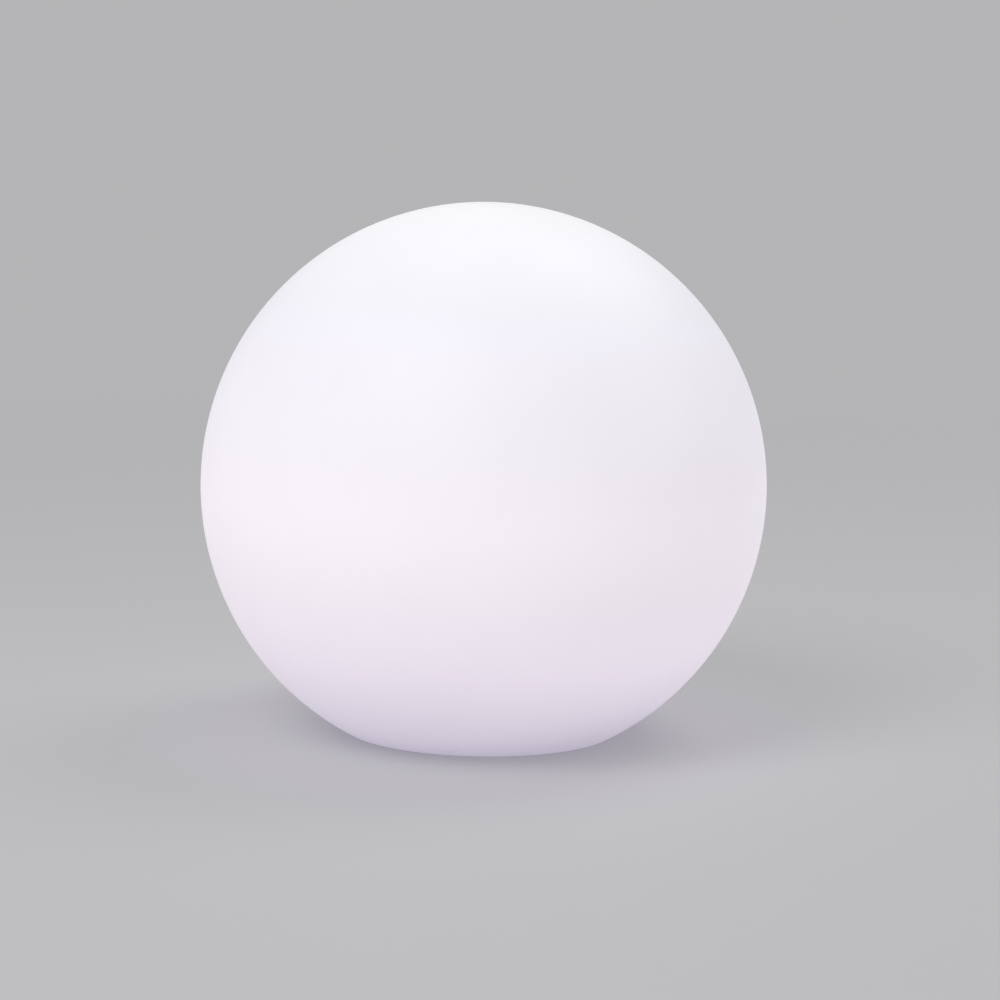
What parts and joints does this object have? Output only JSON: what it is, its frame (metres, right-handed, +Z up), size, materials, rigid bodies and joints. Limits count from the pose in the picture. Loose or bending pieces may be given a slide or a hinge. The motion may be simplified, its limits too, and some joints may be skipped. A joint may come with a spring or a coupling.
{
  "type": "garden globe light",
  "caption": "Matte white glowing ball lamp on a flat base, turned onto a sealed rechargeable light unit with dome, battery, button and charge port.",
  "frame": {"origin": "on the ground, on the globe's vertical axis, at the bottom centre of the rubber feet", "axes": "+Z up along the globe's axis; +X from the power button towards the charge port under the light unit"},
  "size_m": [0.28, 0.28, 0.2635],
  "materials": {
    "globe_white": "matte translucent moulded polyethylene, lit from within",
    "casing_white": "fine-grained moulded plastic",
    "collar_white": "fine-grained moulded plastic",
    "seal_grey": "soft silicone",
    "foot_grey": "matte rubber",
    "button_grey": "soft-touch silicone",
    "dome_milky": "milky diffuser, lit from within",
    "steel": "bright zinc plated",
    "brass": "turned",
    "board_green": "solder-masked board",
    "board_white": "white solder-masked aluminium board",
    "chip_black": "moulded epoxy",
    "ferrite": "ferrite drum",
    "can_metal": "sleeved can",
    "cell_sleeve": "shrink-sleeved cell",
    "nickel": "nickel strip",
    "foam_black": "closed-cell foam",
    "plug_white": "nylon",
    "wire_red": "insulation",
    "wire_black": "insulation",
    "lamp_phosphor": "phosphor-filled package, lit",
    "pipe_clear": "clear moulded light pipe"
  },
  "bodies": {
    "globe": {"globe_shell": "globe_white", "neck_collar": "collar_white", "collar_gasket": "seal_grey", "collar_screws": "steel", "collar_inserts": "brass"},
    "seal": {"collar_seal": "seal_grey"},
    "button": {"power_button": "button_grey", "switch_plunger": "plug_white"},
    "flap": {"port_flap": "seal_grey"},
    "light_unit": {"unit_housing": "casing_white", "foot_pads": "foot_grey", "bottom_cover": "casing_white", "cover_gasket": "seal_grey", "cover_screws": "steel", "button_seal": "seal_grey", "charge_indicator": "pipe_clear", "switch_body": "chip_black", "charge_socket": "steel", "socket_tongue": "chip_black", "flap_anchor": "seal_grey", "control_board": "board_green", "board_screws": "steel", "status_led": "lamp_phosphor", "control_chips": "chip_black", "power_inductor": "ferrite", "filter_capacitors": "can_metal", "battery_header": "plug_white", "battery_plug": "plug_white", "led_header": "plug_white", "led_plug": "plug_white", "battery_tray": "chip_black", "tray_screws": "steel", "battery_cells": "cell_sleeve", "cell_tabs": "nickel", "cell_foam": "foam_black", "protection_board": "board_green", "battery_lead_red": "wire_red", "battery_lead_black": "wire_black", "led_lead_red": "wire_red", "led_lead_black": "wire_black", "wire_grommet": "seal_grey", "led_board": "board_white", "led_packages": "lamp_phosphor", "led_board_screws": "steel", "led_terminal": "plug_white", "light_dome": "dome_milky", "dome_gasket": "seal_grey", "dome_ring": "casing_white", "dome_screws": "steel"}
  },
  "joints": [
    {"name": "globe_lift", "type": "slide", "parent": "light_unit", "child": "seal", "axis": [0, 0, 1], "range_m": [0, 0.0875]},
    {"name": "globe_turn", "type": "hinge", "parent": "seal", "child": "globe", "pos_m": [0, 0, 0.02], "axis": [0, 0, 1], "range_deg": [0, 525]},
    {"name": "button_press", "type": "slide", "parent": "light_unit", "child": "button", "axis": [0, 0, 1], "range_m": [0, 0.0007], "stiffness_N_per_m": 2000},
    {"name": "flap_open", "type": "hinge", "parent": "light_unit", "child": "flap", "pos_m": [0.0256, 0, 0.0023], "axis": [0, -1, 0], "range_deg": [0, 110], "stiffness_Nm_per_rad": 0.004}
  ],
  "couplings": [
    {"joint": "globe_lift", "follows": "globe_turn", "m_per_rad": 0.0095493}
  ]
}
